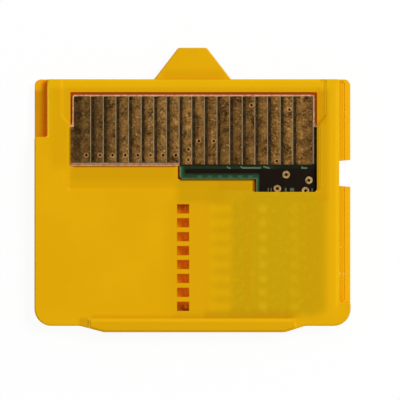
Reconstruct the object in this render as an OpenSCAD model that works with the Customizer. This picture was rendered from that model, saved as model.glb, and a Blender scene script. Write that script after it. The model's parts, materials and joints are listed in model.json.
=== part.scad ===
// Card adapter: a thin two-shell plastic card that takes a smaller memory card from its left edge.
// It lies on its label face, with the contact face up. X runs across, +Y points at the front tab.

/* [Body] */
// Width across the two side edges
body_w = 25; // [24:0.1:27]
// Length from the front edge to the rear lip, without the front tab
body_l = 20; // [19.6:0.1:22]
// Thickness from the label face to the contact face
body_t = 1.78; // [1.74:0.01:2.2]
// Height of the plane where the two shells meet
split_z = 0.9; // [0.86:0.01:0.98]
// Radius of the two front corners
front_corner_r = 0.5; // [0.3:0.05:0.9]
// Radius of the two rear corners
rear_corner_r = 1.35; // [0.8:0.05:1.6]
// Bevel along the outer edges of both faces
edge_bevel = 0.1; // [0.04:0.01:0.14]
// Bevel of each shell at the seam between them
seam_bevel = 0.05; // [0.02:0.01:0.08]

/* [Front tab] */
// How far the tab stands out of the front edge
tab_l = 2.5; // [1.5:0.1:3.5]
// Width of the tab where it leaves the front edge
tab_base_w = 6.1; // [5.5:0.1:8]
// Width of the tab at its tip
tab_tip_w = 2.25; // [1.5:0.05:3]
// Thickness of the tab
tab_t = 1.35; // [1.1:0.05:1.5]
// Radius of the tab's two tip corners
tab_corner_r = 0.3; // [0.1:0.05:0.5]

/* [Rear lip] */
// How far the finger lip stands out behind the rear edge
lip_out = 0.5; // [0.3:0.05:0.8]
// Left end of the lip's straight edge, from the middle
lip_tip_left = 7; // [6:0.1:7.6]
// Right end of the lip's straight edge, from the middle
lip_tip_right = 7.3; // [6:0.1:7.6]
// Half the width of the lip where it leaves the rear edge
lip_base_half = 8.9; // [8.6:0.1:9.6]
// Half the width of the raised ridge on the lip
ridge_half = 8.22; // [7.9:0.02:8.5]
// Width of the raised ridge, from front to rear
ridge_l = 1.13; // [0.9:0.01:1.3]
// How far the ridge stands above the contact face
ridge_rise = 0.3; // [0.2:0.05:0.5]
// Bevel round the top of the ridge
ridge_bevel = 0.18; // [0.08:0.01:0.19]

/* [Guide rails] */
// Width of the step along the right edge
right_rail_w = 0.9; // [0.7:0.05:1]
// Length of the step along the right edge, from the front edge
right_rail_l = 17.63; // [16:0.1:18]
// Width of the step along the left edge
left_rail_w = 1.01; // [0.7:0.01:1.1]
// Length of the step along the left edge, from the front edge
left_rail_l = 4.55; // [3:0.05:5.5]
// Distance of the notch's middle from the front edge
notch_from_front = 7.44; // [6:0.1:9]
// Length of the notch along the right edge
notch_l = 2.05; // [1.5:0.05:2.5]
// How much wider the notch is at its mouth than at its root
notch_flare = 0.16; // [0.06:0.02:0.3]
// Width of the shallow groove along the right step
rail_groove_w = 0.36; // [0.2:0.02:0.5]
// Depth of the shallow groove along the right step
rail_groove_d = 0.08; // [0.04:0.01:0.15]

/* [Contact recess] */
// Depth of the recess round the contacts, below the contact face
recess_d = 0.15; // [0.1:0.01:0.2]
// Width of the sloping wall round the recess
recess_wall = 0.22; // [0.1:0.01:0.28]
// Half the width of the recess along the contacts
recess_half = 9.8; // [9.76:0.01:9.9]
// Half the width of the recess next to the front edge
recess_front_half = 10.3; // [10:0.05:10.6]
// Length of the wider part of the recess, from the front edge
recess_front_l = 2.9; // [2:0.1:4]
// Length of the whole recess, from the front edge
recess_l = 8.65; // [8.4:0.01:8.66]
// Size of the ramp that leads the reader's pins over the front edge
front_ramp = 0.22; // [0.1:0.01:0.3]

/* [Circuit board] */
// Thickness of the laminate
board_t = 0.45; // [0.35:0.01:0.48]
// Height of the board's underside above the label face
board_z = 0.75; // [0.7:0.01:0.78]
// Thickness of the copper on the board
copper_t = 0.035; // [0.02:0.005:0.05]
// How far the contact array and the board lie to the right of the middle
board_shift = 0.09; // [0:0.01:0.12]
// Distance of the board's front edge from the body's front edge
board_setback = 1.18; // [1.1:0.01:1.3]
// Width of the board along its front edge
board_front_w = 19.18; // [19.1:0.01:19.24]
// Width of the board behind its shoulders
board_w = 20.16; // [19.9:0.02:20.3]
// Length of the board from its front edge to its shoulders
shoulder_l = 2.47; // [2.2:0.01:2.8]
// Length of the contact strip, the front part of the board
strip_l = 5.67; // [5.6:0.01:5.7]
// Left end of the board's first step down, right of the middle if positive
step_x = -1.01; // [-1.3:0.01:-0.8]
// How much longer the board is behind its first step
step_l = 1; // [0.9:0.01:1.1]
// Left end of the board's second step down
second_step_x = 5.05; // [4.9:0.01:5.2]
// Left edge of the rear part of the board
board_rear_x = 3.16; // [3.1:0.01:3.3]
// Distance of the rear part's front edge behind the contact strip
board_rear_setback = 2.45; // [2.3:0.05:2.6]
// Distance of the board's rear edge from the body's rear edge
board_rear_wall = 0.8; // [0.7:0.05:1]
// Play round the board in the shells
board_play = 0.05; // [0.02:0.01:0.06]

/* [Board window] */
// Gap between the board's edge and the front and side walls of the window
window_gap = 0.16; // [0.1:0.01:0.18]
// Gap between the board's rear edges and the window
window_rear_gap = 0.08; // [0.02:0.01:0.1]
// Distance of the window's low right end behind the contact strip
window_low_setback = 2.06; // [1.96:0.01:2.1]
// Radius of the window's low right corner
window_corner_r = 0.28; // [0.1:0.02:0.4]

/* [Contact pads] */
// Distance from one pad to the next
pad_pitch = 1; // [0.98:0.01:1]
// Gap between pads
pad_gap = 0.3; // [0.14:0.01:0.34]
// Distance of the pad row's middle right of the body's middle
pads_shift = 0.04; // [0:0.01:0.12]
// Width of the first and the last pad
end_pad_w = 1.28; // [1.1:0.01:1.35]
// Length of a pad
pad_l = 5.4; // [5.36:0.01:5.41]
// How much shorter the left pads are, whose rear ends have a bare edge behind them
left_pad_cut = 0.17; // [0.1:0.01:0.25]
// Distance of the pads from the board's front edge
pad_setback = 0.16; // [0.12:0.01:0.2]
// Diameter of a plated hole
via_d = 0.2; // [0.16:0.01:0.22]
// Thickness of the plating in a hole
plating_t = 0.05; // [0.03:0.01:0.06]
// Diameter of the ring round a plated hole in a pad
pad_ring_d = 0.42; // [0.4:0.01:0.5]
// Diameter of the ring round a plated hole in the bare board
board_ring_d = 0.6; // [0.5:0.01:0.62]

/* [Card slot] */
// Width of the small card
card_w = 11; // [10.9:0.05:11]
// Width of the small card's nose, where its contacts are
card_nose_w = 9.7; // [9.6:0.05:9.75]
// Length of the small card
card_l = 15; // [14.9:0.05:15.05]
// Thickness of the small card
card_t = 0.7; // [0.65:0.01:0.72]
// Length of the thick grip end of the small card
card_grip_l = 1.6; // [1.3:0.1:2]
// Length of the small card's narrow nose
card_nose_l = 6.45; // [6:0.05:7]
// Play round the small card
card_play = 0.05; // [0.03:0.01:0.06]
// Thickness of the floor under the small card
floor_t = 0.35; // [0.3:0.01:0.38]
// Thickness of the wall behind the small card
slot_rear_wall = 0.5; // [0.4:0.01:0.6]

/* [Spring contacts] */
// Distance from one spring contact to the next
spring_pitch = 1.1; // [1.08:0.01:1.1]
// Distance of the middle of the row of springs from the slot's rear wall
spring_row_from_wall = 4.9; // [4.85:0.01:4.95]
// Width of a spring strip
spring_w = 0.36; // [0.3:0.01:0.42]
// Thickness of a spring strip
spring_t = 0.1; // [0.08:0.01:0.11]
// Place of the spring's free end
spring_tip_x = -0.62; // [-0.7:0.01:-0.5]
// How low the spring's bend hangs, above the label face
spring_low_z = 0.82; // [0.75:0.01:0.9]
// Place of the spring's soldered end
spring_tail_x = 5.85; // [5.7:0.01:5.9]
// Length of the window over each spring's end
tip_window_l = 0.95; // [0.8:0.01:1]
// Width of the window over each spring's end
tip_window_w = 0.73; // [0.66:0.01:0.8]
// Middle of those windows
tip_window_x = -0.75; // [-0.8:0.01:-0.7]
// Width of the groove that a spring moves in
groove_w = 0.56; // [0.5:0.01:0.64]
// Thickness of the contact shell's skin over the springs
skin_t = 0.35; // [0.3:0.01:0.38]
// Width of the comb that holds the springs in line
comb_w = 1.02; // [0.8:0.01:1.1]
// Radius of a solder joint
solder_r = 0.34; // [0.26:0.01:0.38]

/* [Locating pegs] */
// Diameter of a peg
peg_d = 0.8; // [0.6:0.05:0.9]
// Height of a peg above the seam
peg_h = 0.4; // [0.3:0.05:0.5]
// Play round a peg
peg_play = 0.03; // [0.02:0.01:0.05]
// Distance of the two front pegs from the front edge
peg_front = 1.9; // [1.5:0.1:2.3]
// Distance of the left side's peg behind the left step
peg_side = 1.5; // [1:0.1:1.8]
// Distance of the rear peg from the rear edge
peg_rear = 1.2; // [1:0.05:1.3]

/* [Label face] */
// Depth of the label field in the label face
label_d = 0.07; // [0.04:0.01:0.1]
// Distance of the label field from the body's edges
label_margin = 1.3; // [1.1:0.1:2]
// Radius of the label field's corners
label_corner_r = 0.8; // [0.4:0.1:1.2]

/* [Hidden] */
// The card format's number of contact pads, of which the left ones are shorter
pad_count = 18;
left_pad_count = 8;
// The small card's number of contacts
spring_count = 8;
// Straight pieces in each rounded corner
corner_steps = 8;
// Cuts run past the faces they open by this much
past = 0.5;
// Play that keeps flat neighbours from overlapping
hair = 0.01;

left_x = -body_w / 2;
right_x = body_w / 2;
front_y = (body_l - tab_l) / 2;
rear_y = front_y - body_l + lip_out;
lip_y = rear_y - lip_out;
tab_y = front_y + tab_l;

board_top = board_z + board_t;
copper_top = board_top + copper_t;
board_front_y = front_y - board_setback;
board_shoulder_y = board_front_y - shoulder_l;
strip_y = board_front_y - strip_l;
step_y = strip_y - step_l;
board_rear_front_y = strip_y - board_rear_setback;
board_rear_y = rear_y + board_rear_wall;
board_right_x = board_shift + board_w / 2;
board_left_x = board_shift - board_w / 2;
strip_right_x = board_shift + board_front_w / 2;
strip_left_x = board_shift - board_front_w / 2;

pad_front_y = board_front_y - pad_setback;
pads_half = (pad_count - 2) * pad_pitch / 2 + pad_gap / 2 + end_pad_w;
// Where the first pad also covers the board behind the shoulder
first_pad_wing = 0.35;
// Plated holes in the pads: pad number, then the place across the pad and the distance from the
// pad's front end, both in pad pitches
pad_vias = [
    [1, 0.06, 4.66], for (k = [2:left_pad_count]) [k, 0.13, 4.66],
    [9, 0.13, 4.2], [9, 0.13, 5.04], [10, -0.04, 3.54], [11, 0.13, 3.54],
    [14, 0.13, 0.7], [16, 0.13, 5.13], [17, 0.13, 1.05]
];
// Plated holes in the bare board: place from the second step, place from the contact strip's rear edge
board_vias = [[2.37, -0.69], [4.16, -1.14], [1.67, -1.8], [3.89, -1.96]];
// Traces on the board, each a path from the second step and from the contact strip's rear edge
trace_w = 0.12;
// Chamfer of the rings round the plated holes
ring_chamfer = 0.01;
traces = [
    [[-2.32, -0.04], [-2.2, -0.16], [-2.04, -0.19]],
    [[-1.24, -0.04], [-1.08, -0.16], [0.36, -0.16]],
    [[0.55, -0.04], [1.05, -0.19]],
    [[3.62, -0.04], [3.62, -0.17], [4.02, -0.17]]
];
plane_gap = 0.24;
plane_strip_w = 0.34;
plane_play = 0.08;

window_low_y = strip_y - window_low_setback;
recess_z = body_t - recess_d;
ceiling_z = body_t - skin_t;
slot_top_z = floor_t + card_t + card_play;
slot_rear_y = rear_y + slot_rear_wall;
slot_front_y = slot_rear_y + card_w + 2 * card_play;
nose_front_y = slot_rear_y + card_nose_w + 2 * card_play;
slot_end_x = left_x + card_l + card_play;
nose_x = slot_end_x - card_nose_l;
mouth_flare = 0.1;
mouth_flare_l = 0.5;
nose_slope = 1.2;

spring_row_y = slot_rear_y + spring_row_from_wall;
spring_z = copper_top + spring_t / 2;
comb_x = board_rear_x + 0.1;
bay_end_x = spring_tail_x + 0.4;
bay_margin = 0.32;
solder_x = spring_tail_x - 0.24;
solder_h = spring_t + 0.05;
solder_pad_l = 2 * solder_r + 0.14;
solder_pad_w = 2 * solder_r + 0.02;

peg_right_x = (board_right_x + right_x - right_rail_w) / 2;
pegs = [
    [(board_left_x + left_x + left_rail_w) / 2, front_y - peg_front],
    [(board_left_x + left_x) / 2, front_y - left_rail_l - peg_side],
    [peg_right_x, front_y - peg_front],
    [peg_right_x, rear_y + peg_rear]
];

function pad_name(k) = str("contact_pad_", k < 10 ? "0" : "", k);

// Corner i of a list, counted round it
function at(list, i) = list[(i + len(list)) % len(list)];
function flat(p) = [p[0], p[1]];
function unit(v) = v / norm(v);
function bend(a, p, b) = (p[0] - a[0]) * (b[1] - p[1]) - (p[1] - a[1]) * (b[0] - p[0]);

// The arc that rounds corner p, between neighbours a and b, by its own radius p[2]
function corner_arc(a, p, b) =
    p[2] <= 0 ? [flat(p)] :
    let(
        u = unit(flat(a) - flat(p)),
        v = unit(flat(b) - flat(p)),
        half = acos(max(-1, min(1, u * v))) / 2,
        centre = flat(p) + unit(u + v) * p[2] / sin(half),
        start = flat(p) + u * p[2] / tan(half) - centre,
        from = atan2(start[1], start[0]),
        sweep = (bend(a, p, b) > 0 ? 1 : -1) * (180 - 2 * half)
    )
    [for (i = [0:corner_steps])
        centre + p[2] * [cos(from + sweep * i / corner_steps), sin(from + sweep * i / corner_steps)]];

// The outline of a list of corners [x, y, radius], in anticlockwise order
function rounded(corners) =
    [for (i = [0:len(corners) - 1])
        each corner_arc(at(corners, i - 1), corners[i], at(corners, i + 1))];

// The same corners with every side moved inwards by d, or outwards if d is negative
function inset(corners, d) =
    [for (i = [0:len(corners) - 1])
        let(
            a = at(corners, i - 1),
            p = corners[i],
            b = at(corners, i + 1),
            u = unit(flat(p) - flat(a)),
            v = unit(flat(b) - flat(p)),
            n1 = [-u[1], u[0]],
            n2 = [-v[1], v[0]],
            moved = flat(p) + (n1 + n2) * d / (1 + n1 * n2),
            r = p[2] - (bend(a, p, b) > 0 ? 1 : -1) * d
        )
        [moved[0], moved[1], p[2] <= 0 ? 0 : max(r, 0.03)]];

function rectangle(x0, y0, x1, y1, r = 0) = [[x0, y0, r], [x1, y0, r], [x1, y1, r], [x0, y1, r]];

// The strip of half width h along an open path
function strip(path, h) =
    let(
        n = len(path) - 1,
        side = [for (i = [0:n])
            let(
                u = unit(path[min(i + 1, n)] - path[min(i, n - 1)]),
                v = unit(path[max(i, 1)] - path[max(i - 1, 0)]),
                n1 = [-u[1], u[0]],
                n2 = [-v[1], v[0]]
            )
            (n1 + n2) / (1 + n1 * n2)]
    )
    concat(
        [for (i = [0:n]) path[i] - side[i] * h],
        [for (i = [n:-1:0]) path[i] + side[i] * h]
    );

// A ring that follows an outline. Its section is a list of [distance inwards, height], anticlockwise
module ring(corners, section) {
    loops = [for (p = section) rounded(inset(corners, p[0]))];
    n = len(loops[0]);
    m = len(section);
    points = [for (k = [0:m - 1]) for (p = loops[k]) [p[0], p[1], section[k][1]]];
    faces = [
        for (k = [0:m - 1])
            for (i = [0:n - 1])
                let(next = (k + 1) % m, j = (i + 1) % n)
                    [k * n + i, k * n + j, next * n + j, next * n + i]
    ];
    polyhedron(points, faces, convexity = 8);
}

// A plate with bevelled bottom and top edges
module bevelled_plate(corners, z0, z1, bottom, top) {
    over = 0.05;
    difference() {
        plate(corners, z0, z1);
        if (bottom > 0)
            ring(corners, [[-over, z0 + bottom + over], [-over, z0 - over], [bottom + over, z0 - over]]);
        ring(corners, [[-over, z1 - top - over], [top + over, z1 + over], [-over, z1 + over]]);
    }
}

module plate(corners, z0, z1) {
    translate([0, 0, z0]) linear_extrude(z1 - z0) polygon(rounded(corners));
}

module hole(x, y, d, z0, z1) {
    translate([x, y, z0]) cylinder(d = d, h = z1 - z0, $fn = 32);
}

// The lip's rear side, from left to right
function lip_corners() = [
    [-lip_base_half, rear_y, 0.9],
    [-lip_tip_left, lip_y, 0.4],
    [lip_tip_right, lip_y, 1.6],
    [lip_base_half, rear_y, 1.3]
];

function label_shell_corners() = concat(
    [[left_x, rear_y, rear_corner_r]],
    lip_corners(),
    [
        [right_x, rear_y, rear_corner_r],
        [right_x, front_y, front_corner_r],
        [left_x, front_y, front_corner_r]
    ]
);

// The contact shell stops short of both guide rails
function contact_shell_corners() = concat(
    [[left_x, rear_y, rear_corner_r]],
    lip_corners(),
    [
        [right_x, rear_y, rear_corner_r],
        [right_x, front_y - right_rail_l, 0.2],
        [right_x - right_rail_w, front_y - right_rail_l, 0.15],
        [right_x - right_rail_w, front_y, 0.2],
        [left_x + left_rail_w, front_y, 0.2],
        [left_x + left_rail_w, front_y - left_rail_l, 0.15],
        [left_x, front_y - left_rail_l, 0.2]
    ]
);

// The tab reaches back under the contact shell
function tab_corners() =
    let(
        back = 0.8,
        slope = (tab_base_w - tab_tip_w) / 2 / tab_l,
        back_half = tab_base_w / 2 + slope * back
    )
    [
        [-back_half, front_y - back, 0],
        [back_half, front_y - back, 0],
        [tab_tip_w / 2, tab_y, tab_corner_r],
        [-tab_tip_w / 2, tab_y, tab_corner_r]
    ];

// The ridge follows the lip's rear side, and its ends are square to it
function ridge_corners() =
    let(
        left_slope = lip_out / (lip_base_half - lip_tip_left),
        right_slope = lip_out / (lip_base_half - lip_tip_right)
    )
    [
        [-ridge_half, rear_y - (lip_base_half - ridge_half) * left_slope, 0.08],
        [-lip_tip_left, lip_y, 0.4],
        [lip_tip_right, lip_y, 1.6],
        [ridge_half, rear_y - (lip_base_half - ridge_half) * right_slope, 0.08],
        [ridge_half, lip_y + ridge_l, 0.15],
        [-ridge_half, lip_y + ridge_l, 0.15]
    ];

function recess_corners() = [
    [board_shift - recess_half, front_y - recess_l, 0.1],
    [board_shift + recess_half, front_y - recess_l, 0.1],
    [board_shift + recess_half, front_y - recess_front_l - 0.5, 0.6],
    [board_shift + recess_front_half, front_y - recess_front_l, 0.3],
    [board_shift + recess_front_half, tab_y, 0],
    [board_shift - recess_front_half, tab_y, 0],
    [board_shift - recess_front_half, front_y - recess_front_l, 0.3],
    [board_shift - recess_half, front_y - recess_front_l - 0.5, 0.6]
];

function board_corners() = [
    [board_rear_x, board_rear_y, 0.3],
    [board_right_x, board_rear_y, 0.5],
    [board_right_x, board_shoulder_y, 0.1],
    [strip_right_x, board_shoulder_y, 0.3],
    [strip_right_x, board_front_y, 0.25],
    [strip_left_x, board_front_y, 0.25],
    [strip_left_x, board_shoulder_y, 0.3],
    [board_left_x, board_shoulder_y, 0.1],
    [board_left_x, strip_y, 0.2],
    [step_x, strip_y, 0],
    [step_x, step_y, 0.2],
    [second_step_x, step_y, 0],
    [second_step_x, board_rear_front_y, 0.1],
    [board_rear_x, board_rear_front_y, 0.2]
];

function window_corners() = [
    [second_step_x - window_gap, window_low_y, 0],
    [strip_right_x + window_gap, window_low_y, window_corner_r],
    [strip_right_x + window_gap, board_front_y + window_gap, 0.08],
    [strip_left_x - window_gap, board_front_y + window_gap, 0.08],
    [strip_left_x - window_gap, strip_y - window_rear_gap / 2, 0.05],
    [step_x - window_gap, strip_y - window_rear_gap / 2, 0.05],
    [step_x - window_gap, step_y - window_rear_gap, 0.16],
    [second_step_x - window_gap, step_y - window_rear_gap, 0.05]
];

function slot_corners() = [
    [left_x - past, slot_rear_y - mouth_flare, 0],
    [left_x, slot_rear_y - mouth_flare, 0],
    [left_x + mouth_flare_l, slot_rear_y, 0],
    [slot_end_x, slot_rear_y, 0.2],
    [slot_end_x, nose_front_y, 0.2],
    [nose_x, nose_front_y, 0.3],
    [nose_x - nose_slope, slot_front_y, 0.3],
    [left_x + mouth_flare_l, slot_front_y, 0],
    [left_x, slot_front_y + mouth_flare, 0],
    [left_x - past, slot_front_y + mouth_flare, 0]
];

function spring_y(k) = spring_row_y + (k - (spring_count + 1) / 2) * spring_pitch;

// The middle line of a spring, seen from the side: tail, ramp, contact bend and turned-up end
function spring_path() = [
    [spring_tail_x, spring_z],
    [comb_x - 0.15, spring_z],
    [comb_x - 0.75, spring_z - 0.04],
    [spring_tip_x + 0.8, spring_low_z + 0.13],
    [spring_tip_x + 0.5, spring_low_z + 0.06],
    [spring_tip_x + 0.3, spring_low_z + 0.05],
    [spring_tip_x + 0.12, spring_low_z + 0.08],
    [spring_tip_x, spring_low_z + 0.15]
];

// Gap centres lie a whole number of pitches from the middle; the first and last pads are wider
function gap_x(k) = pads_shift + (k - pad_count / 2) * pad_pitch;
function pad_left_x(k) = k == 1 ? pads_shift - pads_half : gap_x(k - 1) + pad_gap / 2;
function pad_right_x(k) = k == pad_count ? pads_shift + pads_half : gap_x(k) - pad_gap / 2;
function pad_rear_y(k) = pad_front_y - pad_l + (k <= left_pad_count ? left_pad_cut : 0);
function pad_middle_x(k) =
    k == 1 ? pad_right_x(1) - (pad_pitch - pad_gap) / 2 : (pad_left_x(k) + pad_right_x(k)) / 2;
function pad_via_at(v) = [pad_middle_x(v[0]) + v[1] * pad_pitch, pad_front_y - v[2] * pad_pitch];
function on_board(p) = [second_step_x + p[0], strip_y + p[1]];

module label_shell() {
    color("#dea404") union() {
        difference() {
            union() {
                bevelled_plate(label_shell_corners(), 0, split_z, edge_bevel, seam_bevel);
                tab();
            }
            rail_notch();
            rail_groove();
            plate(inset(board_corners(), -board_play), board_z, split_z + past);
            plate(slot_corners(), floor_t, split_z + past);
            grip_opening();
            label_field();
        }
        for (p = pegs) hole(p[0], p[1], peg_d, split_z - 0.3, split_z + peg_h);
    }
}

module tab() {
    difference() {
        bevelled_plate(tab_corners(), 0, tab_t, edge_bevel, edge_bevel);
        translate([-tab_base_w, front_y - 1 + hair, split_z - seam_bevel])
            cube([2 * tab_base_w, 1, past + tab_t]);
    }
}

// The notch opens towards the edge
module rail_notch() {
    y = front_y - notch_from_front;
    root = right_x - right_rail_w;
    reach = right_rail_w + past;
    inner = (notch_l - notch_flare / 2) / 2;
    outer = inner + notch_flare / 2 * reach / right_rail_w;
    translate([root, y, -past])
        linear_extrude(split_z + 2 * past)
            polygon([[0, -inner], [reach, -outer], [reach, outer], [0, inner]]);
}

module rail_groove() {
    x = right_x - right_rail_w + 0.08;
    plate(
        rectangle(x, front_y - right_rail_l + 0.12, x + rail_groove_w, front_y - 0.2, 0.1),
        split_z - rail_groove_d,
        split_z + past
    );
}

// The small card's thick end lies in the open part of the floor, where a fingernail reaches it
module grip_opening() {
    plate(
        [
            [left_x - past, slot_rear_y, 0],
            [left_x + card_grip_l, slot_rear_y, 0.5],
            [left_x + card_grip_l, slot_front_y, 0.5],
            [left_x - past, slot_front_y, 0]
        ],
        -past,
        floor_t + past / 5
    );
}

module label_field() {
    plate(
        rectangle(
            left_x + card_grip_l + label_margin / 2,
            rear_y + label_margin / 2,
            right_x - label_margin,
            front_y - label_margin,
            label_corner_r
        ),
        -past,
        label_d
    );
}

module contact_shell() {
    color("#e0a602") difference() {
        union() {
            bevelled_plate(contact_shell_corners(), split_z, body_t, seam_bevel, edge_bevel);
            bevelled_plate(ridge_corners(), body_t - skin_t, body_t + ridge_rise, 0, ridge_bevel);
        }
        contact_recess();
        plate(window_corners(), split_z - past, body_t + past);
        plate(inset(board_corners(), -board_play), split_z - past, copper_top + hair);
        spring_bay();
        plate(slot_corners(), split_z - past, slot_top_z);
        for (k = [1:spring_count]) spring_groove(k);
        for (p = pegs) hole(p[0], p[1], peg_d + 2 * peg_play, split_z - past, split_z + peg_h + 0.05);
    }
}

// A shallow field with sloping walls, open at the front edge over a ramp
module contact_recess() {
    rise = 0.1;
    reach = recess_wall * (1 + rise / recess_d);
    ramp_half = recess_front_half - 0.15;
    plate(recess_corners(), recess_z, body_t + past);
    ring(recess_corners(), [[-reach, body_t + rise], [0, recess_z], [rise, body_t + rise]]);
    translate([board_shift - ramp_half, front_y, recess_z])
        rotate([90, 0, 90])
            linear_extrude(2 * ramp_half)
                polygon([
                    [-front_ramp, past],
                    [-front_ramp, 0],
                    [0, -front_ramp * 0.6],
                    [past, -front_ramp * 0.6],
                    [past, past]
                ]);
}

module spring_bay() {
    low = spring_y(1) - spring_w / 2 - bay_margin;
    high = spring_y(spring_count) + spring_w / 2 + bay_margin;
    plate(rectangle(board_rear_x - board_play, low, bay_end_x, high, 0.1), split_z - past, ceiling_z);
}

module spring_groove(k) {
    from = tip_window_x - tip_window_l / 2;
    translate([from, spring_y(k) - groove_w / 2, split_z - past])
        cube([board_rear_x - from, groove_w, ceiling_z - split_z + past]);
    translate([from, spring_y(k) - tip_window_w / 2, split_z - past])
        cube([tip_window_l, tip_window_w, body_t - split_z + 2 * past]);
}

module circuit_board() {
    color("#1f5c3a") difference() {
        plate(board_corners(), board_z, board_top);
        for (v = pad_vias) drilled(pad_via_at(v));
        for (v = board_vias) drilled(on_board(v));
    }
}

module drilled(p) {
    hole(p[0], p[1], via_d + 2 * plating_t, board_z - past, copper_top + past);
}

module contact_pad(k) {
    x0 = pad_left_x(k);
    x1 = pad_right_x(k);
    y0 = pad_rear_y(k);
    wing_y = board_shoulder_y - 0.15;
    corners = k > 1
        ? rectangle(x0, y0, x1, pad_front_y, 0.06)
        : [
            [x0 - first_pad_wing, y0, 0.06],
            [x1, y0, 0.06],
            [x1, pad_front_y, 0.06],
            [x0, pad_front_y, 0.12],
            [x0, wing_y, 0.12],
            [x0 - first_pad_wing, wing_y, 0.06]
        ];
    color("#8a6b38") difference() {
        plate(corners, board_top, copper_top);
        for (v = pad_vias) if (v[0] == k) drilled(pad_via_at(v));
    }
}

// A plated hole: a barrel through the board, with a ring round its top
module plated_hole(p, ring_d, ring_low, ring_high) {
    inner = via_d / 2;
    outer = inner + plating_t - hair / 2;
    translate([p[0], p[1], 0])
        rotate_extrude($fn = 32)
            polygon([
                [inner, board_z],
                [outer, board_z],
                [outer, ring_low],
                [ring_d / 2, ring_low],
                [ring_d / 2, ring_high - ring_chamfer],
                [ring_d / 2 - ring_chamfer, ring_high],
                [inner, ring_high]
            ]);
}

module pad_vias() {
    color("#b08a4c")
        for (v = pad_vias) plated_hole(pad_via_at(v), pad_ring_d, copper_top, copper_top + 0.5 * copper_t);
}

module board_vias() {
    color("#c9a765")
        for (v = board_vias) plated_hole(on_board(v), board_ring_d, board_top, copper_top);
}

// The copper plane under the mask, in the window and on down the board, with room round its holes
module ground_plane() {
    top = strip_y - plane_gap;
    left = step_x + 0.43;
    low = board_rear_y + 0.5;
    right = board_right_x - 0.45;
    bay = bay_end_x + 0.15;
    inner = second_step_x + 0.25;
    color("#1b1210") difference() {
        plate(
            [
                [bay, low, 0.3],
                [right, low, 0.3],
                [right, top, 0.15],
                [left, top, 0.1],
                [left, top - plane_strip_w, 0.1],
                [inner, top - plane_strip_w, 0.1],
                [inner, board_rear_front_y + 0.15, 0.1],
                [bay, board_rear_front_y + 0.15, 0.1]
            ],
            board_top,
            copper_top
        );
        for (v = board_vias)
            let(p = on_board(v)) hole(p[0], p[1], board_ring_d + plane_play, board_z, copper_top + past);
    }
}

module signal_traces() {
    color("#6f8f74")
        for (path = traces)
            translate([0, 0, board_top])
                linear_extrude(copper_t * 0.8)
                    polygon(strip([for (p = path) on_board(p)], trace_w / 2));
}

module solder_pads() {
    color("#c9a765")
        for (k = [1:spring_count])
            let(y = spring_y(k))
                plate(
                    rectangle(
                        solder_x - solder_pad_l / 2, y - solder_pad_w / 2,
                        solder_x + solder_pad_l / 2, y + solder_pad_w / 2,
                        0.08
                    ),
                    board_top,
                    copper_top
                );
}

// A bar with a notch under it for each spring
module contact_comb() {
    low = spring_y(1) - spring_w / 2 - bay_margin + 0.04;
    high = spring_y(spring_count) + spring_w / 2 + bay_margin - 0.04;
    color("#26221c") difference() {
        plate(rectangle(comb_x, low, comb_x + comb_w, high, 0.08), board_top, ceiling_z - hair);
        for (k = [1:spring_count])
            translate([comb_x - past, spring_y(k) - spring_w / 2 - 0.02, board_top - past])
                cube([comb_w + 2 * past, spring_w + 0.04, copper_t + spring_t + hair + past]);
    }
}

module spring_contact(k) {
    color("#c8a050")
        translate([0, spring_y(k) + spring_w / 2, 0])
            rotate([90, 0, 0])
                linear_extrude(spring_w) polygon(strip(spring_path(), spring_t / 2));
}

// A low mound of solder over the end of a spring's tail
module solder_joint(k) {
    steps = 6;
    color("#b9bcc0")
        translate([solder_x, spring_y(k), copper_top])
            difference() {
                rotate_extrude($fn = 32)
                    polygon(concat(
                        [[0, 0]],
                        [for (i = [0:steps]) [solder_r * cos(90 * i / steps), solder_h * sin(90 * i / steps)]]
                    ));
                translate([-solder_r - past, -spring_w / 2, -past])
                    cube([solder_r + past + spring_tail_x - solder_x, spring_w, past + spring_t]);
            }
}

label_shell();
contact_shell();
circuit_board();
for (k = [1:pad_count])
    contact_pad(k);
pad_vias();
board_vias();
ground_plane();
signal_traces();
solder_pads();
contact_comb();
for (k = [1:spring_count])
    spring_contact(k);
for (k = [1:spring_count])
    solder_joint(k);
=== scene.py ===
import json
import math

import bpy
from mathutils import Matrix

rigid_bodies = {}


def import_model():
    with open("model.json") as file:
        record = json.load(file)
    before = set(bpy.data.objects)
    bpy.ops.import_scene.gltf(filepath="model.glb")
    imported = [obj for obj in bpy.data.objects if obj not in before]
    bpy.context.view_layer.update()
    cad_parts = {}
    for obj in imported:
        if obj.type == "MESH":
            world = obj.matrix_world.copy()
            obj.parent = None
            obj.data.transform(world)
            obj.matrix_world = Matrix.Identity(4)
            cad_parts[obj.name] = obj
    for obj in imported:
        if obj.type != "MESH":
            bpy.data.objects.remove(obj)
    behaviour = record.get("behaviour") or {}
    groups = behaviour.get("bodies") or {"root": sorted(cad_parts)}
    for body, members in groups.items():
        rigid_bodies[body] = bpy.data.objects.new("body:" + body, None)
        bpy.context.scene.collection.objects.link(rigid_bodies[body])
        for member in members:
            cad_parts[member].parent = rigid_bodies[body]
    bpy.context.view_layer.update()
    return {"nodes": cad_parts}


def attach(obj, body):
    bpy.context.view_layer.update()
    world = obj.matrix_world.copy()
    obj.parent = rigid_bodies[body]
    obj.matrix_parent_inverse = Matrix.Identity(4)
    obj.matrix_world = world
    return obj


for leftover in list(bpy.data.objects):  # a new file's own cube, lamp and camera
    bpy.data.objects.remove(leftover, do_unlink=True)

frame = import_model()
nodes = frame["nodes"]
print("frame loaded,", len(nodes), "nodes")

white = (1, 1, 1, 1)
anyHeight = 9  # millimetres, more than the part is high


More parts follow.
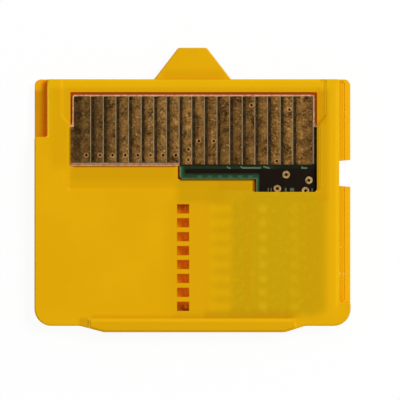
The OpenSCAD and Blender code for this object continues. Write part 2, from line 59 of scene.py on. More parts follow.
def linearHex(text):  # sRGB hex to linear
    parts = [int(text[i:i + 2], 16) / 255 for i in (1, 3, 5)]
    return tuple(c / 12.92 if c <= 0.04045 else ((c + 0.055) / 1.055) ** 2.4 for c in parts) + (1.0,)


def addNode(tree, kind, settings=None, links=None):
    node = tree.nodes.new(kind)
    for key, value in (settings or {}).items():
        if isinstance(key, str) and hasattr(node, key):
            setattr(node, key, value)
        else:
            node.inputs[key].default_value = value
    for key, source in (links or {}).items():
        tree.links.new(source, node.inputs[key])
    return node


def newMaterial(name):
    material = bpy.data.materials.new(name)
    material.use_nodes = True
    material.node_tree.nodes.clear()
    return material, material.node_tree


def millimetres(tree):  # object coordinates in millimetres
    place = addNode(tree, "ShaderNodeTexCoord")
    return addNode(tree, "ShaderNodeVectorMath", {"operation": "SCALE", "Scale": 1000.0},
                   {0: place.outputs["Object"]}).outputs[0]


def boxMask(tree, point, corners, soft):  # 1 inside a rectangle, 0 from soft millimetres outside it
    x0, y0, x1, y1 = corners
    middle = ((x0 + x1) / 2, (y0 + y1) / 2, 0)
    half = ((x1 - x0) / 2, (y1 - y0) / 2, anyHeight)
    away = addNode(tree, "ShaderNodeVectorMath", {"operation": "SUBTRACT", 1: middle}, {0: point})
    away = addNode(tree, "ShaderNodeVectorMath", {"operation": "ABSOLUTE"}, {0: away.outputs[0]})
    away = addNode(tree, "ShaderNodeVectorMath", {"operation": "SUBTRACT", 1: half}, {0: away.outputs[0]})
    away = addNode(tree, "ShaderNodeVectorMath", {"operation": "MAXIMUM", 1: (0, 0, 0)}, {0: away.outputs[0]})
    away = addNode(tree, "ShaderNodeVectorMath", {"operation": "LENGTH"}, {0: away.outputs[0]})
    fall = addNode(tree, "ShaderNodeMapRange",
                   {"interpolation_type": "SMOOTHSTEP", 1: 0.0, 2: soft, 3: 1.0, 4: 0.0},
                   {0: away.outputs["Value"]})
    return fall.outputs[0]


def tint(tree, colour, mask, hexColour, strength=1.0):
    amount = addNode(tree, "ShaderNodeMath", {"operation": "MULTIPLY", 1: strength}, {0: mask})
    mix = addNode(tree, "ShaderNodeMix", {"data_type": "RGBA", 7: linearHex(hexColour)},
                  {0: amount.outputs[0], 6: colour})
    return mix.outputs[2]


def paint(tree, colour, point, patches):  # a later patch lies over an earlier one
    for corners, soft, shade, strength in patches:
        colour = tint(tree, colour, boxMask(tree, point, corners, soft), shade, strength)
    return colour


def keepShare(tree, amount, point, places):  # inside each place only a share of the amount is kept
    for corners, soft, share in places:
        kept = addNode(tree, "ShaderNodeMapRange", {1: 0.0, 2: 1.0, 3: 1.0, 4: share},
                       {0: boxMask(tree, point, corners, soft)})
        product = addNode(tree, "ShaderNodeMath", {"operation": "MULTIPLY"}, {0: amount, 1: kept.outputs[0]})
        amount = product.outputs[0]
    return amount


def blotches(tree, point, perMm, detail, low, high, most, rough=0.5):  # a noise, 0 at low and most at high
    noise = addNode(tree, "ShaderNodeTexNoise", {"Scale": perMm, "Detail": detail, "Roughness": rough},
                    {0: point})
    level = addNode(tree, "ShaderNodeMapRange", {1: low, 2: high, 3: 0.0, 4: most}, {0: noise.outputs[0]})
    return level.outputs[0]


def rays(tree, kinds):  # 1 for rays of these kinds, 0 for the others
    path = addNode(tree, "ShaderNodeLightPath")
    share = path.outputs[kinds[0]]
    for kind in kinds[1:]:
        larger = addNode(tree, "ShaderNodeMath", {"operation": "MAXIMUM"}, {0: share, 1: path.outputs[kind]})
        share = larger.outputs[0]
    return share


# camera: straight down on the contact face, as in the photograph; metres, and the sensor in millimetres
cameraSettings = {"x": 0.00059, "y": -0.0008, "distance": 0.4, "frameWidth": 0.031613, "face": 0.00178,
                  "sensor": 36, "near": 0.01, "far": 50}
lensData = bpy.data.cameras.new("camera")
lensData.sensor_width = cameraSettings["sensor"]
lensData.lens = cameraSettings["sensor"] * cameraSettings["distance"] / cameraSettings["frameWidth"]
lensData.clip_start = cameraSettings["near"]
lensData.clip_end = cameraSettings["far"]
camera = bpy.data.objects.new("camera", lensData)
camera.location = (cameraSettings["x"], cameraSettings["y"],
                   cameraSettings["face"] + cameraSettings["distance"])
bpy.context.collection.objects.link(camera)
bpy.context.scene.camera = camera
print("camera set")

# studio: one soft lamp from the upper right, an even world, a white floor; metres, degrees and strengths
studio = {"lampPower": 1.72, "lampAway": 0.5, "lampWide": 0.22, "lampUp": 57, "lampTurn": 32,
          "even": 0.45, "overhead": 0.03, "low": 0.2, "high": 0.9,
          "floor": "#f7f7f7", "floorGlow": 0.93, "floorWide": 2, "floorDrop": 0.00002}
lampData = bpy.data.lights.new("key", "AREA")
lampData.energy = studio["lampPower"]
lampData.size = studio["lampWide"]
lamp = bpy.data.objects.new("key", lampData)
up = math.radians(studio["lampUp"])
turn = math.radians(studio["lampTurn"])
lamp.location = (studio["lampAway"] * math.cos(up) * math.cos(turn),
                 studio["lampAway"] * math.cos(up) * math.sin(turn), studio["lampAway"] * math.sin(up))
lamp.rotation_euler = (-lamp.location).to_track_quat("-Z", "Y").to_euler()
bpy.context.collection.objects.link(lamp)

world = bpy.data.worlds.new("studio")
bpy.context.scene.world = world
world.use_nodes = True
tree = world.node_tree
tree.nodes.clear()
direction = addNode(tree, "ShaderNodeTexCoord")
parts = addNode(tree, "ShaderNodeSeparateXYZ", {}, {0: direction.outputs["Generated"]})
ramp = addNode(tree, "ShaderNodeMapRange",
               {1: studio["low"], 2: studio["high"], 3: 1.0, 4: studio["overhead"]}, {0: parts.outputs[2]})
evenLight = addNode(tree, "ShaderNodeBackground", {0: white, 1: studio["even"]})
mirrored = addNode(tree, "ShaderNodeBackground", {0: white}, {1: ramp.outputs[0]})
seen = addNode(tree, "ShaderNodeBackground", {0: white, 1: 1.0})
glossy = addNode(tree, "ShaderNodeMixShader", {},
                 {0: rays(tree, ["Is Glossy Ray"]), 1: evenLight.outputs[0], 2: mirrored.outputs[0]})
direct = rays(tree, ["Is Camera Ray", "Is Transmission Ray"])
both = addNode(tree, "ShaderNodeMixShader", {}, {0: direct, 1: glossy.outputs[0], 2: seen.outputs[0]})
addNode(tree, "ShaderNodeOutputWorld", {}, {0: both.outputs[0]})

bpy.ops.mesh.primitive_plane_add(size=studio["floorWide"], location=(0, 0, -studio["floorDrop"]))
floor = bpy.context.active_object
floor.name = "floor"
paper, tree = newMaterial("white paper floor")
matt = addNode(tree, "ShaderNodeBsdfDiffuse", {0: linearHex(studio["floor"])})
glow = addNode(tree, "ShaderNodeEmission", {0: white, 1: 1.0})
direct = rays(tree, ["Is Camera Ray", "Is Glossy Ray", "Is Transmission Ray"])
share = addNode(tree, "ShaderNodeMath", {"operation": "MULTIPLY", 1: studio["floorGlow"]}, {0: direct})
mixed = addNode(tree, "ShaderNodeMixShader", {},
                {0: share.outputs[0], 1: matt.outputs[0], 2: glow.outputs[0]})
addNode(tree, "ShaderNodeOutputMaterial", {}, {0: mixed.outputs[0]})
floor.data.materials.append(paper)
print("studio set")

# ABS, injection moulded and opaque yellow: satin, and thin enough over the board for what lies under it to
# show as faint darker and lighter patches. For the light that passes through it, deep corners get painted
# orange shade and a weak painted orange glow.
plastic = {"main": "#e1a703", "cloud": "#e8b106", "rough": 0.38, "ior": 1.53, "specular": 0.03,
           "clouds": {"perMm": 0.25, "detail": 2.0, "low": 0.35, "high": 0.65, "most": 0.45},
           "flecks": {"perMm": 2.2, "detail": 3.0, "low": 0.5, "high": 0.75, "most": 0.6, "rough": 0.7},
           "fleckArea": (3, -9.4, 9.3, -0.7), "fleckSoft": 1.0, "fleck": "#dcae0a", "fleckStrength": 0.7,
           "grainPerMm": 9.0, "grainStrength": 0.25, "grainDepth": 0.00001, "edgeRadius": 0.00005,
           # deep is the painted shade in corners; through and throughGap colour the painted glow, the second
           # in the gaps round the board
           "deep": "#853200", "reach": 0.0015, "closed": 0.12, "open": 0.45,
           "through": "#c05e00", "throughGap": "#ae3a00", "gapArea": (-10.0, -0.3, 10.1, 7.9), "gapSoft": 0.1}
springRows = {"first": -9.2, "pitch": 1.1, "area": (-2, -9.75, 9, -0.95), "soft": 0.05}  # millimetres
# on the contact face, what shows through the skin, and painted light and shade: corners in millimetres,
# softness, colour, strength
showThroughAndPaintedLight = [
    ((2.2, -9.2, 9.4, -0.9), 1.6, "#cf9f03", 0.85),  # the board
    ((4.6, -9.4, 9.4, -0.7), 0.8, "#c39c05", 0.75),  # its copper plane
    ((9.5, -9.0, 9.9, -1.2), 1.2, "#c89b03", 0.85),  # the board's right side, which fades out
    ((1.6, -0.3, 9.3, 0.0), 0.9, "#c39a08", 0.5),  # the thin skin beside the window
    ((3.0, -9.9, 8.3, -9.6), 0.35, "#c39704", 0.4),  # the board's rear edge
    ((3.4, -9.5, 4.1, -1.1), 0.5, "#c39a05", 0.7),  # the comb
    ((4.42, -9.6, 4.55, -1.0), 0.2, "#cf9404", 0.3),  # the springs' shadow behind the comb
    ((11.25, -9.6, 11.5, 8.0), 0.8, "#e8af04", 0.65),  # solid plastic right of the board
    ((11.33, -9.2, 11.45, 8.5), 0.06, "#f0bd12", 0.6),  # the lit right edge
    ((-11.52, 4.2, -11.38, 8.4), 0.05, "#ffd030", 0.9),  # the lit left edge
    ((-9.8, 0.3, 9.9, 8.0), 0.3, "#d7a002", 0.75),  # the sunken face round the window
    ((-10.8, 2.2, -10.3, 7.6), 0.9, "#d7a002", 0.65),  # and left of it
    ((-11.3, 8.3, 11.3, 8.8), 0.4, "#e8b106", 0.6),  # the lit front edge
    ((-8.8, -10.7, -8.45, -10.3), 0.3, "#c88c04", 0.5),  # painted shade at the ridge's left end
    ((-8.26, -11.0, -8.06, -10.15), 0.04, "#ffd034", 0.75),  # and its lit edge
    ((10.05, -0.6, 10.4, 7.6), 0.6, "#cd9702", 0.7),  # the face right of the window
    ((10.1, 5.4, 10.4, 7.6), 0.4, "#d08e00", 0.5),  # deeper orange towards the front
    ((10.46, 5.95, 10.54, 8.5), 0.05, "#f3ba14", 0.8),  # the recess's right wall, lit from within
    ((10.0, 0.2, 10.06, 5.1), 0.04, "#f0b814", 0.7),  # the same wall, further back
    ((-1.4, -9.1, 1.0, -1.5), 1.3, "#dba203", 0.75),  # the card's slot
    ((-9.2, 1.1, -1.7, 1.8), 0.7, "#cd9802", 0.55),  # the sunken face below the pads
    ((-0.8, -0.6, 2.2, 0.5), 0.9, "#cb9a02", 0.8),  # the face below the step
    ((2.2, 0.1, 4.5, 0.6), 0.35, "#c89602", 0.85),
    ((-0.98, 0.73, 5.0, 0.95), 0.07, "#664806", 0.75),  # the window's lower and left edges, in shadow
    ((4.77, -0.1, 5.0, 0.8), 0.05, "#5e3c04", 0.75),
    ((-9.35, 1.84, -1.4, 1.95), 0.1, "#7a4a08", 0.75),
    ((-9.72, 1.95, -9.6, 4.9), 0.06, "#8a5a08", 0.7),
    ((-7.8, -10.06, 0.5, -9.98), 0.25, "#d09a03", 0.45),  # painted shade in the crease before the ridge
    ((-1.0, -10.1, 1.0, -9.98), 0.8, "#c99404", 0.4),
    ((1.2, -10.1, 7.6, -9.98), 0.7, "#b98703", 0.5),
    ((-8.1, -11.3, 8.1, -10.16), 0.03, "#e1a703", 1.0),  # the ridge
    ((-7.9, -11.2, 7.9, -10.55), 0.15, "#dba304", 0.7),  # the ridge's top
    ((-7.95, -10.36, 7.95, -10.22), 0.08, "#efbb10", 0.45),  # the ridge's lit front edge
]
# the same on each spring's row, with y counted from the row's middle
onRows = [
    ((1.6, -0.06, 2.7, 0.06), 0.45, "#e0ad03", 0.5),  # the strips
    ((5.52, -0.02, 5.58, 0.02), 0.55, "#dab012", 0.55),  # the solder
    ((8.0, -0.02, 8.1, 0.02), 0.55, "#d4a80a", 0.5),
]
# on the sunken ledges, painted shade and light and a few chips: corners in millimetres, softness, colour,
# strength
ledgeShades = [
    ((-12.5, 4.2, -11.3, 7.6), 0.9, "#cd8603", 0.85),  # left, in the body's shadow
    ((-12.5, 8.1, -11.9, 8.8), 0.4, "#f0a604", 0.8),  # painted light on its front corner, where the lamp reaches past the body
    ((-11.7, 4.2, -11.4, 8.5), 0.35, "#fb8a02", 0.9),  # painted orange shade in a strip next to the body
    ((11.5, -8.85, 12.08, 8.6), 0.08, "#dfa603", 0.7),  # right, deeper orange next to the body
    ((12.2, -8.85, 12.6, 8.6), 0.06, "#edb40a", 0.8),  # and lighter outside the groove
    ((12.04, -8.85, 12.14, 8.6), 0.03, "#efb40a", 0.85),  # painted light on the groove's wall, which faces away from the lamp
    ((11.97, -8.85, 12.04, 8.6), 0.03, "#ffc820", 0.75),  # and its lit edge
    ((12.1, 6.16, 12.13, 6.19), 0.09, "#f6c84e", 0.8),  # small chips in the ledge's corner
    ((11.66, -4.55, 11.8, -4.51), 0.08, "#f6bb3c", 0.6),
    ((11.6, -6.65, 11.66, -6.58), 0.1, "#f8cf58", 0.8),
    ((11.98, -6.68, 12.04, -6.6), 0.1, "#f8cf58", 0.8),
    ((-2.0, 8.7, 2.2, 9.2), 0.6, "#d99c02", 0.7),  # the tab's foot
]
# painted shade on the floor seen round the board: corners in millimetres, softness, colour, strength
gapFloor = [
    ((-9.8, 7.45, 9.95, 7.8), 0.05, "#8a3000", 0.9),  # in front of the board
    ((-9.9, 4.9, -9.4, 7.8), 0.05, "#8a3000", 0.9),  # left of it
    ((9.6, 4.9, 9.95, 7.4), 0.05, "#d0780c", 0.9),  # right of it
    ((-1.3, 0.6, -0.95, 2.0), 0.05, "#5a1c00", 0.9),  # along the window's step
    ((-1.3, 0.6, 5.15, 0.95), 0.05, "#5a1c00", 0.9),
    ((4.8, -0.2, 5.1, 0.95), 0.05, "#5a1c00", 0.9),
]
# where the painted shade in corners, and the painted glow that goes with it, is weaker: corners in
# millimetres, softness, the share that is kept
openCorners = [
    ((11.4, -8.95, 12.7, 8.8), 0.05, 0.4),  # the right ledge
    ((-12.7, 4.0, -11.2, 8.8), 0.05, 0.7),  # the left ledge
    ((-12.7, 8.3, -11.2, 8.8), 0.3, 0.6),  # and its front corner
    ((9.6, 4.9, 9.95, 7.42), 0.05, 0.55),  # the gap right of the board
]
# where the painted glow is weaker, as less of the light gets through: corners in millimetres, softness, the
# share that is kept
lessLight = [
    ((-9.35, 2.1, 9.5, 7.35), 0.05, 0.0),  # under the board
    ((5.3, -1.2, 9.7, 1.7), 0.05, 0.0),
    ((-9.9, 7.42, 9.95, 7.9), 0.05, 0.9),  # in the gap in front of the board
    ((9.6, 4.9, 9.95, 7.4), 0.05, 0.8),  # right of it
    ((-9.9, 4.9, -9.4, 7.42), 0.05, 0.5),  # left of it
    ((-1.35, 0.55, 5.15, 0.96), 0.03, 0.1),  # in the gap along the window's step
    ((-1.35, 0.96, -0.95, 1.95), 0.03, 0.25),
    ((4.8, -0.2, 5.15, 0.55), 0.03, 0.25),
    ((-1.4, -9.8, -0.1, -9.3), 0.4, 0.08),  # at the slot's two sides
    ((-1.4, -1.35, -0.1, -1.0), 0.4, 0.2),
]


def springShades(tree, colour, point, axes):  # the springs' strips and solder, through the skin
    rowPlace = addNode(tree, "ShaderNodeMath", {"operation": "SUBTRACT", 1: springRows["first"]},
                       {0: axes.outputs[1]})
    rowPlace = addNode(tree, "ShaderNodeMath", {"operation": "PINGPONG", 1: springRows["pitch"] / 2},
                       {0: rowPlace.outputs[0]})
    rowPoint = addNode(tree, "ShaderNodeCombineXYZ", {}, {0: axes.outputs[0], 1: rowPlace.outputs[0]})
    rows = boxMask(tree, point, springRows["area"], springRows["soft"])
    for corners, soft, shade, strength in onRows:
        mask = addNode(tree, "ShaderNodeMath", {"operation": "MULTIPLY"},
                       {0: boxMask(tree, rowPoint.outputs[0], corners, soft), 1: rows})
        colour = tint(tree, colour, mask.outputs[0], shade, strength)
    return colour


def fleckShades(tree, colour, point):  # uneven wall thickness: small flecks over the board
    flecks = addNode(tree, "ShaderNodeMath", {"operation": "MULTIPLY"},
                     {0: blotches(tree, point, **plastic["flecks"]),
                      1: boxMask(tree, point, plastic["fleckArea"], plastic["fleckSoft"])})
    return tint(tree, colour, flecks.outputs[0], plastic["fleck"], plastic["fleckStrength"])


def plasticMaterial(name, shades, lowest, overBoard):  # the shades show above lowest, in millimetres
    material, tree = newMaterial(name)
    point = millimetres(tree)
    axes = addNode(tree, "ShaderNodeSeparateXYZ", {}, {0: point})
    base = addNode(tree, "ShaderNodeMix",
                   {"data_type": "RGBA", 6: linearHex(plastic["main"]), 7: linearHex(plastic["cloud"])},
                   {0: blotches(tree, point, **plastic["clouds"])})
    painted = paint(tree, base.outputs[2], point, shades)
    if overBoard:
        painted = springShades(tree, painted, point, axes)
        painted = fleckShades(tree, painted, point)
    high = addNode(tree, "ShaderNodeMath", {"operation": "GREATER_THAN", 1: lowest}, {0: axes.outputs[2]})
    top = addNode(tree, "ShaderNodeMix", {"data_type": "RGBA", 6: linearHex(plastic["main"])},
                  {0: high.outputs[0], 7: painted})
    # painted shade in deep corners, found by ambient occlusion, and a weak painted orange glow there
    corner = addNode(tree, "ShaderNodeAmbientOcclusion", {"samples": 8, "Distance": plastic["reach"]})
    depth = addNode(tree, "ShaderNodeMapRange", {1: plastic["closed"], 2: plastic["open"], 3: 1.0, 4: 0.0},
                    {0: corner.outputs["AO"]})
    deep = keepShare(tree, depth.outputs[0], point, openCorners)
    colour = tint(tree, top.outputs[2], deep, plastic["deep"])
    paintedGlow = keepShare(tree, deep, point, lessLight)
    grain = addNode(tree, "ShaderNodeTexNoise", {"Scale": plastic["grainPerMm"], "Detail": 3.0}, {0: point})
    edge = addNode(tree, "ShaderNodeBevel", {"samples": 6, "Radius": plastic["edgeRadius"]})
    bump = addNode(tree, "ShaderNodeBump",
                   {"Strength": plastic["grainStrength"], "Distance": plastic["grainDepth"]},
                   {"Height": grain.outputs[0], "Normal": edge.outputs[0]})
    # the painted glow's colour, redder in the gaps round the board
    glow = addNode(tree, "ShaderNodeMix", {"data_type": "RGBA", 6: linearHex(plastic["through"]),
                                           7: linearHex(plastic["throughGap"])},
                   {0: boxMask(tree, point, plastic["gapArea"], plastic["gapSoft"])})
    shader = addNode(tree, "ShaderNodeBsdfPrincipled", {"Roughness": plastic["rough"], "IOR": plastic["ior"],
                                                        "Specular IOR Level": plastic["specular"]},
                     {"Base Color": colour, "Normal": bump.outputs[0], "Emission Color": glow.outputs[2],
                      "Emission Strength": paintedGlow})
    addNode(tree, "ShaderNodeOutputMaterial", {}, {0: shader.outputs[0]})
    return material


contactSide = plasticMaterial("moulded yellow ABS, thin over the board", showThroughAndPaintedLight, lowest=1.5,
                              overBoard=True)
labelSide = plasticMaterial("moulded yellow ABS", ledgeShades + gapFloor, lowest=0.3, overBoard=False)
print("plastic made")

padRow = {"pitch": 1.0, "gapMiddle": 0.04}  # millimetres along x, and where one gap's middle lies

# glass-epoxy laminate under a green mask: bare and pinkish along its cut edges, dark between the pads, partly
# as painted shade, with a painted lit line at each pad's right side, and green where it is clear of copper
laminate = {"gap": "#1f1503", "gapLight": "#2f2208", "weavePerMm": 6.0, "bright": "#9c8662",
            "lineStart": -0.145, "lineEnd": -0.075, "masked": "#121a10", "maskedLight": "#263a22",
            "maskedTo": 1.9, "ragged": {"perMm": 3.5, "detail": 3.0, "low": 0.42, "high": 0.7, "most": 0.8},
            "raggedShade": "#5e4524", "raggedStrength": 0.65, "rough": 0.45, "ior": 1.5, "specular": 0.08}
# each list: corners in millimetres, softness, colour, strength
boardRims = [
    ((-10.2, 7.43, 10.2, 7.7), 0.05, "#e6b080", 1.0),  # the front rim
    ((-10.1, 5.0, -9.41, 7.7), 0.05, "#e6b080", 1.0),  # left
    ((9.55, 5.0, 10.3, 7.7), 0.05, "#e6b080", 1.0),  # right
    ((-10.2, 1.8, -1.1, 2.13), 0.05, "#a8845e", 1.0),  # the rim below the pads
    ((-10.2, 1.8, -1.1, 1.95), 0.03, "#cba27e", 1.0),  # and its lit line
]
boardStrips = [
    ((-10.2, 7.54, 10.2, 7.7), 0.03, "#8a3812", 0.8),  # painted shadow of the window's front wall on the front cut edge
    ((9.53, 2.1, 9.58, 5.2), 0.04, laminate["bright"], 1.0),  # a painted lit line right of the last pad
    ((-0.95, 1.7, 11, 1.99), 0.03, "#151c0f", 1.0),  # the mask below the pads
]
belowPads = [
    ((7.2, 1.5, 10.0, 2.0), 1.2, "#10140d", 0.8),  # darker at the right end
    ((-1.2, 0.8, -0.92, 1.8), 0.4, "#1f5030", 0.9),  # green along the cut edges
    ((-1.2, 0.7, 5.0, 0.94), 0.4, "#1f5030", 0.9),
    ((4.9, -0.2, 5.15, 0.94), 0.4, "#1f5030", 0.9),
    ((-1.2, 0.9, -0.98, 1.7), 0.25, "#2f7044", 0.8),  # the lit left end
    ((-1.2, 0.8, 5.0, 0.9), 0.06, "#8a9c66", 0.75),  # the cut edge glints
    ((4.95, -0.2, 5.1, 0.9), 0.06, "#8a9c66", 0.4),
    ((-1.2, 0.9, -0.99, 1.8), 0.06, "#8a9c66", 0.75),
    ((5.75, -1.3, 9.8, 1.5), 0.1, "#12110a", 1.0),  # dark round the copper plane
]
board, tree = newMaterial("glass laminate under green mask")
point = millimetres(tree)
axes = addNode(tree, "ShaderNodeSeparateXYZ", {}, {0: point})
weave = addNode(tree, "ShaderNodeTexNoise", {"Scale": laminate["weavePerMm"], "Detail": 3.0}, {0: point})
# dark between the pads: the laminate's own dark tone, darkened further as painted shade from the next pad
start = addNode(tree, "ShaderNodeMix",
                {"data_type": "RGBA", 6: linearHex(laminate["gap"]), 7: linearHex(laminate["gapLight"])},
                {0: weave.outputs[0]})
# a painted lit line at each pad's right side, on the laminate between the pads
across = addNode(tree, "ShaderNodeMath",
                 {"operation": "SUBTRACT", 1: padRow["gapMiddle"] + laminate["lineStart"]},
                 {0: axes.outputs[0]})
across = addNode(tree, "ShaderNodeMath", {"operation": "FLOORED_MODULO", 1: padRow["pitch"]},
                 {0: across.outputs[0]})
line = addNode(tree, "ShaderNodeMath",
               {"operation": "LESS_THAN", 1: laminate["lineEnd"] - laminate["lineStart"]},
               {0: across.outputs[0]})
colour = tint(tree, start.outputs[2], line.outputs[0], laminate["bright"])
colour = paint(tree, colour, point, boardRims)
ragged = blotches(tree, point, **laminate["ragged"])
colour = tint(tree, colour, ragged, laminate["raggedShade"], laminate["raggedStrength"])
colour = paint(tree, colour, point, boardStrips)
masked = addNode(tree, "ShaderNodeMix", {"data_type": "RGBA", 6: linearHex(laminate["masked"]),
                                         7: linearHex(laminate["maskedLight"])}, {0: weave.outputs[0]})
maskedColour = paint(tree, masked.outputs[2], point, belowPads)
lower = addNode(tree, "ShaderNodeMath", {"operation": "LESS_THAN", 1: laminate["maskedTo"]},
                {0: axes.outputs[1]})
whole = addNode(tree, "ShaderNodeMix", {"data_type": "RGBA"},
                {0: lower.outputs[0], 6: colour, 7: maskedColour})
shader = addNode(tree, "ShaderNodeBsdfPrincipled", {"Roughness": laminate["rough"], "IOR": laminate["ior"],
                                                    "Specular IOR Level": laminate["specular"]},
                 {"Base Color": whole.outputs[2]})
addNode(tree, "ShaderNodeOutputMaterial", {}, {0: shader.outputs[0]})
print("laminate made")

# gold over nickel on copper, dulled by use: a brown grainy metal with uneven blotches, olive and red tarnish
# and a few bare bright grains
gold = {"blotch": 0.7, "blotchDetail": 4.0, "blotchRough": 0.72, "grainPerMm": 5.5, "grainShare": 0.5,
        "darkest": 0.56, "lightest": 0.95, "tarnish": "#6f5c2e", "bare": "#e2bd84",
        "stains": {"perMm": 1.6, "detail": 3.0, "low": 0.4, "high": 0.65, "most": 0.3},
        "specks": {"perMm": 5.5, "detail": 1.0, "low": 0.66, "high": 0.76, "most": 0.8},
        "boreTop": 1.225, "holeHalf": 0.07, "hole": "#4a1d06",
        "bumpStrength": 0.3, "bumpDepth": 0.00002, "specular": 0.1}
# wear, and painted shade at the first and last pads' outer edges: corners in millimetres, softness, colour,
# strength
padWearAndShadow = [
    ((-10.0, 2.0, -8.0, 8.0), 3.0, "#4a3b24", 0.5),  # the first pads, less and less
    ((-9.25, 1.9, -8.95, 8.0), 0.3, "#1c0f06", 0.45),  # painted shade at the first one's left edge
    ((-5.3, 2.0, -0.3, 8.0), 0.5, "#c89a5c", 0.06),  # the middle ones are brighter
    ((0.9, 2.0, 4.9, 8.0), 0.5, "#3d2410", 0.2),  # the ones right of them are duller
    ((3.0, 2.0, 6.1, 8.0), 0.2, "#3d2410", 0.2),
    ((5.1, 2.0, 6.0, 8.0), 0.1, "#3d2410", 0.15),
    ((9.0, 1.5, 9.5, 8.0), 0.5, "#38190a", 0.45),  # painted shadow of the window's right wall on the last one's right edge
]
# each pad: a random dullness from wear, and a painted shade that grows towards its left edge
eachPad = {"dull": "#3d2a12", "dullMost": 0.2, "leftShade": "#3b2811", "leftShadeStrength": 0.6,
           "leftShadeStart": 0.15, "leftShadeEnd": 0.5, "area": (-8.0, 1.5, 9.0, 8.0), "soft": 0.02}


def shadedWornPads(tree, colour, point):  # some pads are duller from wear; each one gets a painted shade towards its left edge, away from the lamp
    colour = paint(tree, colour, point, padWearAndShadow)
    axes = addNode(tree, "ShaderNodeSeparateXYZ", {}, {0: point})
    fromGap = addNode(tree, "ShaderNodeMath", {"operation": "SUBTRACT", 1: padRow["gapMiddle"]},
                      {0: axes.outputs[0]})
    which = addNode(tree, "ShaderNodeMath", {"operation": "FLOOR"}, {0: fromGap.outputs[0]})
    chance = addNode(tree, "ShaderNodeTexWhiteNoise", {"noise_dimensions": "1D"}, {"W": which.outputs[0]})
    colour = tint(tree, colour, chance.outputs["Value"], eachPad["dull"], eachPad["dullMost"])
    across = addNode(tree, "ShaderNodeMath", {"operation": "FLOORED_MODULO", 1: padRow["pitch"]},
                     {0: fromGap.outputs[0]})
    left = addNode(tree, "ShaderNodeMapRange",
                   {1: eachPad["leftShadeStart"], 2: eachPad["leftShadeEnd"], 3: 1.0, 4: 0.0},
                   {0: across.outputs[0]})
    inner = addNode(tree, "ShaderNodeMath", {"operation": "MULTIPLY"},
                    {0: left.outputs[0], 1: boxMask(tree, point, eachPad["area"], eachPad["soft"])})
    return tint(tree, colour, inner.outputs[0], eachPad["leftShade"], eachPad["leftShadeStrength"])


def goldMaterial(name, light, dark, rough, metal=1.0, worn=False, boreShade=None, holes=()):
    material, tree = newMaterial(name)
    point = millimetres(tree)
    blotch = addNode(tree, "ShaderNodeTexNoise",
                     {"Scale": 1 / gold["blotch"], "Detail": gold["blotchDetail"],
                      "Roughness": gold["blotchRough"]}, {0: point})
    grain = addNode(tree, "ShaderNodeTexNoise", {"Scale": gold["grainPerMm"], "Detail": 2.0}, {0: point})
    both = addNode(tree, "ShaderNodeMath", {"operation": "MULTIPLY_ADD", 1: gold["grainShare"]},
                   {0: grain.outputs[0], 2: blotch.outputs[0]})
    level = addNode(tree, "ShaderNodeMapRange", {1: gold["darkest"], 2: gold["lightest"], 3: 0.0, 4: 1.0},
                    {0: both.outputs[0]})
    base = addNode(tree, "ShaderNodeMix", {"data_type": "RGBA", 6: linearHex(dark), 7: linearHex(light)},
                   {0: level.outputs[0]})
    colour = tint(tree, base.outputs[2], blotches(tree, point, **gold["stains"]), gold["tarnish"])
    colour = tint(tree, colour, blotches(tree, point, **gold["specks"]), gold["bare"])
    if worn:
        colour = shadedWornPads(tree, colour, point)
    if boreShade:  # painted shade on the walls of a plated hole
        axes = addNode(tree, "ShaderNodeSeparateXYZ", {}, {0: point})
        below = addNode(tree, "ShaderNodeMath", {"operation": "LESS_THAN", 1: gold["boreTop"]},
                        {0: axes.outputs[2]})
        colour = tint(tree, colour, below.outputs[0], boreShade)
    # painted shade in each hole of the bare board
    half = gold["holeHalf"]
    for x, y in holes:
        hole = boxMask(tree, point, (x - half, y - half, x + half, y + half), half)
        colour = tint(tree, colour, hole, gold["hole"])
    bump = addNode(tree, "ShaderNodeBump", {"Strength": gold["bumpStrength"], "Distance": gold["bumpDepth"]},
                   {"Height": level.outputs[0]})
    shader = addNode(tree, "ShaderNodeBsdfPrincipled",
                     {"Metallic": metal, "Roughness": rough, "Specular IOR Level": gold["specular"]},
                     {"Base Color": colour, "Normal": bump.outputs[0]})
    addNode(tree, "ShaderNodeOutputMaterial", {}, {0: shader.outputs[0]})
    return material


boardHoles = [(7.42, 1.21), (9.21, 0.76), (6.72, 0.1), (8.94, -0.06)]  # millimetres, in the bare board
padGold = goldMaterial("worn gold plating", "#d29850", "#38220e", rough=0.45, worn=True)
ringGold = goldMaterial("bright gold plating", "#f8d694", "#bc884a", rough=0.35, metal=0.8, boreShade="#4a220a",
                        holes=boardHoles)
holeGold = goldMaterial("gold plating in the pads' holes", "#d8a468", "#a8713a", rough=0.45, boreShade="#1d0f06")
# its light orange and low metal are partly the bronze's own colour and partly painted light, for the orange
# glow round the spring tips
bronze = goldMaterial("plated spring bronze", "#ffc638", "#e8a41c", rough=0.45, metal=0.15)
print("plating made")

# copper under a mask, and the comb's plastic: dark or green and nearly matt, with faint clouds
coat = {"cloudPerMm": 1.4, "specular": 0.08, "bare": "#666a50", "bareStrength": 0.8, "bareSoft": 0.04}
bareBits = [(5.97, -0.12, 6.01, 0.13), (6.2, -0.12, 6.24, 0.13), (7.32, -0.12, 7.42, 0.13),
            (7.74, -0.12, 8.02, 0.13), (9.43, -0.1, 9.49, 0.1)]  # corners in millimetres, mask left open


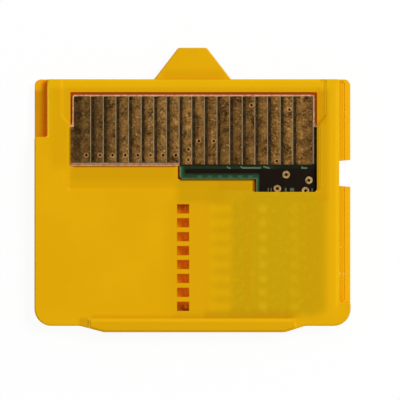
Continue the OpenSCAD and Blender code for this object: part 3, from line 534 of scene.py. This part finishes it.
def maskedMaterial(name, main, second, rough, bare=()):
    material, tree = newMaterial(name)
    point = millimetres(tree)
    cloud = addNode(tree, "ShaderNodeTexNoise", {"Scale": coat["cloudPerMm"], "Detail": 3.0}, {0: point})
    base = addNode(tree, "ShaderNodeMix", {"data_type": "RGBA", 6: linearHex(main), 7: linearHex(second)},
                   {0: cloud.outputs[0]})
    colour = base.outputs[2]
    for corners in bare:
        mask = boxMask(tree, point, corners, coat["bareSoft"])
        colour = tint(tree, colour, mask, coat["bare"], coat["bareStrength"])
    shader = addNode(tree, "ShaderNodeBsdfPrincipled",
                     {"Roughness": rough, "Specular IOR Level": coat["specular"]}, {"Base Color": colour})
    addNode(tree, "ShaderNodeOutputMaterial", {}, {0: shader.outputs[0]})
    return material


# the copper plane's near-black is painted shade and painted dark reflection, under a mask
darkCopper = maskedMaterial("copper under mask, in painted shade", "#120b06", "#21140a", rough=0.35, bare=bareBits)
traceCopper = maskedMaterial("copper trace under green mask", "#456046", "#687c62", rough=0.4)
darkPlastic = maskedMaterial("moulded black plastic", "#17140f", "#221d17", rough=0.6)

# tin solder, reflowed: grey and softly shiny
tin = {"main": "#b4b5b7", "second": "#cccdcf", "rough": 0.3, "cloudPerMm": 5.0}
solder, tree = newMaterial("reflowed solder")
cloud = addNode(tree, "ShaderNodeTexNoise", {"Scale": tin["cloudPerMm"], "Detail": 2.0},
                {0: millimetres(tree)})
base = addNode(tree, "ShaderNodeMix",
               {"data_type": "RGBA", 6: linearHex(tin["main"]), 7: linearHex(tin["second"])},
               {0: cloud.outputs[0]})
shader = addNode(tree, "ShaderNodeBsdfPrincipled", {"Metallic": 1.0, "Roughness": tin["rough"]},
                 {"Base Color": base.outputs[2]})
addNode(tree, "ShaderNodeOutputMaterial", {}, {0: shader.outputs[0]})
print("coats and solder made")

# short copper bars under the mask, in a row along the window's step, in metres
bars = {"count": 6, "pitch": 0.0008, "start": (0.00057, 0.00104, 0.00121),
        "size": (0.00036, 0.0002, 0.000024)}
tracks = bpy.data.node_groups.new("bars in a row", "GeometryNodeTree")
for label, kind, value in (("Count", "NodeSocketInt", bars["count"]),
                           ("Pitch", "NodeSocketFloat", bars["pitch"]),
                           ("Start", "NodeSocketVector", bars["start"]),
                           ("Size", "NodeSocketVector", bars["size"])):
    tracks.interface.new_socket(label, in_out="INPUT", socket_type=kind).default_value = value
tracks.interface.new_socket("Geometry", in_out="OUTPUT", socket_type="NodeSocketGeometry")
given = addNode(tracks, "NodeGroupInput")
apart = addNode(tracks, "ShaderNodeCombineXYZ", {}, {0: given.outputs["Pitch"]})
row = addNode(tracks, "GeometryNodeMeshLine", {}, {"Count": given.outputs["Count"],
                                                   "Start Location": given.outputs["Start"],
                                                   "Offset": apart.outputs[0]})
bar = addNode(tracks, "GeometryNodeMeshCube", {}, {"Size": given.outputs["Size"]})
placed = addNode(tracks, "GeometryNodeInstanceOnPoints", {}, {"Points": row.outputs[0],
                                                              "Instance": bar.outputs[0]})
real = addNode(tracks, "GeometryNodeRealizeInstances", {}, {0: placed.outputs[0]})
barCopper = maskedMaterial("copper bars under green mask", "#24583c", "#336e4c", rough=0.4)
dressed = addNode(tracks, "GeometryNodeSetMaterial", {"Material": barCopper}, {0: real.outputs[0]})
addNode(tracks, "NodeGroupOutput", {}, {0: dressed.outputs[0]})
holder = bpy.data.objects.new("holder", bpy.data.meshes.new("holder"))
bpy.context.collection.objects.link(holder)
holder.modifiers.new("bars", "NODES").node_group = tracks
made = bpy.data.meshes.new_from_object(holder.evaluated_get(bpy.context.evaluated_depsgraph_get()))
bpy.data.objects.remove(holder, do_unlink=True)
maskedBars = bpy.data.objects.new("masked_bars", made)
bpy.context.collection.objects.link(maskedBars)
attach(maskedBars, "root")
print("copper bars made,", len(made.polygons), "faces")

# a node's finish, by the start of its name
finishes = {"contact_shell": contactSide, "label_shell": labelSide, "circuit_board": board,
            "contact_pad": padGold, "pad_vias": holeGold, "board_vias": ringGold, "ground_plane": darkCopper,
            "signal_traces": traceCopper, "solder_pads": padGold, "contact_comb": darkPlastic,
            "spring_contact": bronze, "solder_joint": solder}
for name, thing in nodes.items():
    match = [finish for start, finish in finishes.items() if name.startswith(start)]
    thing.data.materials.clear()
    thing.data.materials.append(match[0])
print("finishes set")

bpy.context.scene.view_settings.view_transform = "Standard"
print("done")
